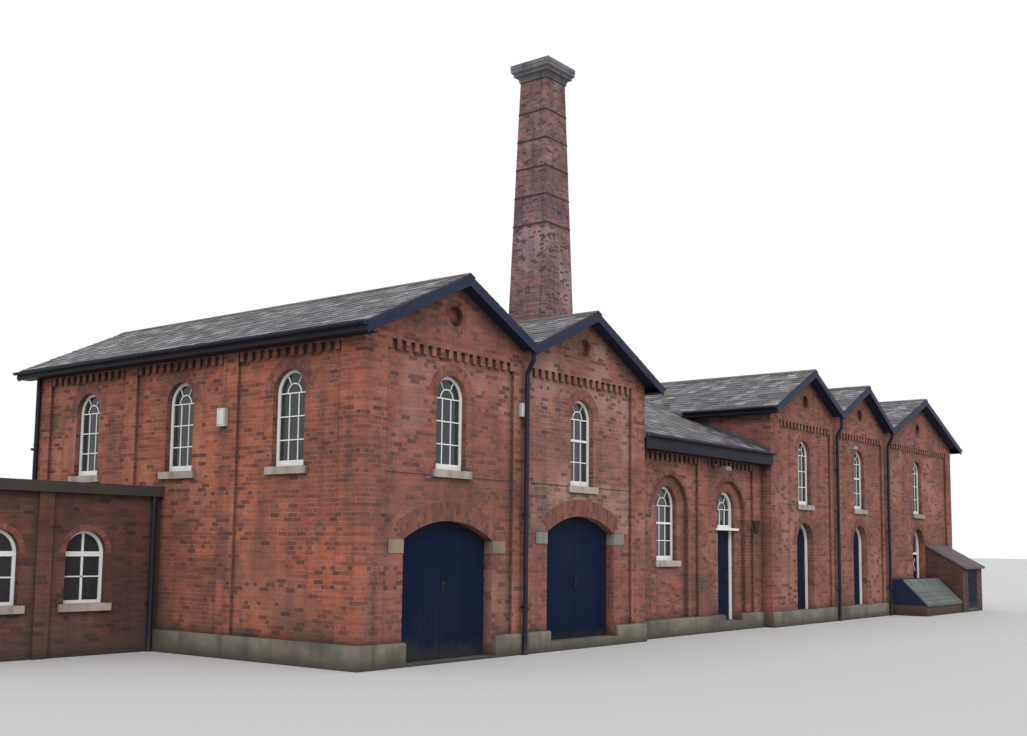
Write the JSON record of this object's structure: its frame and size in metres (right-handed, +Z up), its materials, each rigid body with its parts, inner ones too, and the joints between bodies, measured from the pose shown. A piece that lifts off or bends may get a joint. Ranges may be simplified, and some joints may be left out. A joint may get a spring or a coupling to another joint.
{
  "type": "pumping station",
  "caption": "Brick pumping station with slate gables, round-headed windows, arched doorways, a low link, flat-roofed annex, lean-to store, cellar hatch and tall square chimney.",
  "frame": {"origin": "foot of the front left corner of the gabled range, at ground level", "axes": "+X along the front to the right, +Y back into the range, +Z up"},
  "size_m": [36.42, 14.37, 20.24],
  "materials": {
    "brick": "fired clay brick in lime mortar",
    "stone": "weathered sandstone",
    "slate": "roofing slate",
    "ridge_tile": "matt clay ridge tile",
    "lead": "dull sheet lead",
    "navy_timber": "gloss painted timber",
    "navy_iron": "gloss painted cast iron",
    "white_timber": "painted timber",
    "window_glass": "clear sheet glass",
    "dark_iron": "weathered iron",
    "concrete": "trowelled concrete",
    "floor_boards": "bare floor boards",
    "felted_boards": "boards under roofing felt",
    "green_timber": "faded painted boards"
  },
  "bodies": {
    "building": {"west_end_wall": "brick", "front_wall_1": "brick", "front_wall_2": "brick", "front_wall_3": "brick", "front_wall_4": "brick", "front_wall_5": "brick", "link_front_wall": "brick", "front_piers": "brick", "cross_walls": "brick", "east_end_wall": "brick", "rear_walls": "brick", "ground_floors": "concrete", "upper_floors": "floor_boards", "roof_1": "slate", "roof_2": "slate", "roof_3": "slate", "roof_4": "slate", "roof_5": "slate", "link_roof": "slate", "ridge_tiles": "ridge_tile", "valley_gutters": "lead", "barge_boards": "navy_timber", "eaves_boards": "navy_timber", "gutters": "navy_iron", "downpipes": "navy_iron", "dentil_courses": "brick", "window_frames": "white_timber", "window_glass": "window_glass", "stone_sills": "stone", "springer_stones": "stone", "plinth_stones": "stone", "door_sills": "stone", "door_frames": "white_timber", "hinge_pins": "dark_iron", "chimney_shaft": "brick", "chimney_cap": "stone", "chimney_bands": "dark_iron", "annex_walls": "brick", "annex_coping": "stone", "annex_roof": "concrete", "store_walls": "brick", "store_roof": "felted_boards", "hatch_base": "brick", "hatch_frame": "navy_timber"},
    "cart_door_1_left": {"cart_door_1_left": "navy_timber"},
    "cart_door_1_right": {"cart_door_1_right": "navy_timber"},
    "cart_door_2_left": {"cart_door_2_left": "navy_timber"},
    "cart_door_2_right": {"cart_door_2_right": "navy_timber"},
    "link_door": {"link_door": "navy_timber"},
    "gable_3_door": {"gable_3_door": "navy_timber"},
    "gable_4_door": {"gable_4_door": "navy_timber"},
    "gable_5_door": {"gable_5_door": "navy_timber"},
    "store_door": {"store_door": "navy_timber"},
    "hatch_lid_left": {"hatch_lid_left": "green_timber"},
    "hatch_lid_right": {"hatch_lid_right": "green_timber"}
  },
  "joints": [
    {"name": "cart_door_1_left_hinge", "type": "hinge", "parent": "building", "child": "cart_door_1_left", "pos_m": [1.088, 0.338, 0], "axis": [0, 0, 1], "range_deg": [0, 92]},
    {"name": "cart_door_1_right_hinge", "type": "hinge", "parent": "building", "child": "cart_door_1_right", "pos_m": [3.652, 0.338, 0], "axis": [0, 0, -1], "range_deg": [0, 92]},
    {"name": "cart_door_2_left_hinge", "type": "hinge", "parent": "building", "child": "cart_door_2_left", "pos_m": [5.373, 0.338, 0], "axis": [0, 0, 1], "range_deg": [0, 92]},
    {"name": "cart_door_2_right_hinge", "type": "hinge", "parent": "building", "child": "cart_door_2_right", "pos_m": [7.937, 0.338, 0], "axis": [0, 0, -1], "range_deg": [0, 92]},
    {"name": "link_door_hinge", "type": "hinge", "parent": "building", "child": "link_door", "pos_m": [13.448, 0.688, 0], "axis": [0, 0, 1], "range_deg": [0, 92]},
    {"name": "gable_3_door_hinge", "type": "hinge", "parent": "building", "child": "gable_3_door", "pos_m": [17.423, 0.388, 0], "axis": [0, 0, 1], "range_deg": [0, 92]},
    {"name": "gable_4_door_hinge", "type": "hinge", "parent": "building", "child": "gable_4_door", "pos_m": [21.573, 0.388, 0], "axis": [0, 0, 1], "range_deg": [0, 92]},
    {"name": "gable_5_door_hinge", "type": "hinge", "parent": "building", "child": "gable_5_door", "pos_m": [26.933, 0.388, 0], "axis": [0, 0, 1], "range_deg": [0, 92]},
    {"name": "store_door_hinge", "type": "hinge", "parent": "building", "child": "store_door", "pos_m": [28.883, -1.22, 0], "axis": [0, 0, -1], "range_deg": [0, 95]},
    {"name": "hatch_lid_left_hinge", "type": "hinge", "parent": "building", "child": "hatch_lid_left", "pos_m": [25.5, -0.385, 1.188], "axis": [-1, 0, 0], "range_deg": [0, 150]},
    {"name": "hatch_lid_right_hinge", "type": "hinge", "parent": "building", "child": "hatch_lid_right", "pos_m": [27.3, -0.385, 1.188], "axis": [-1, 0, 0], "range_deg": [0, 150]}
  ]
}
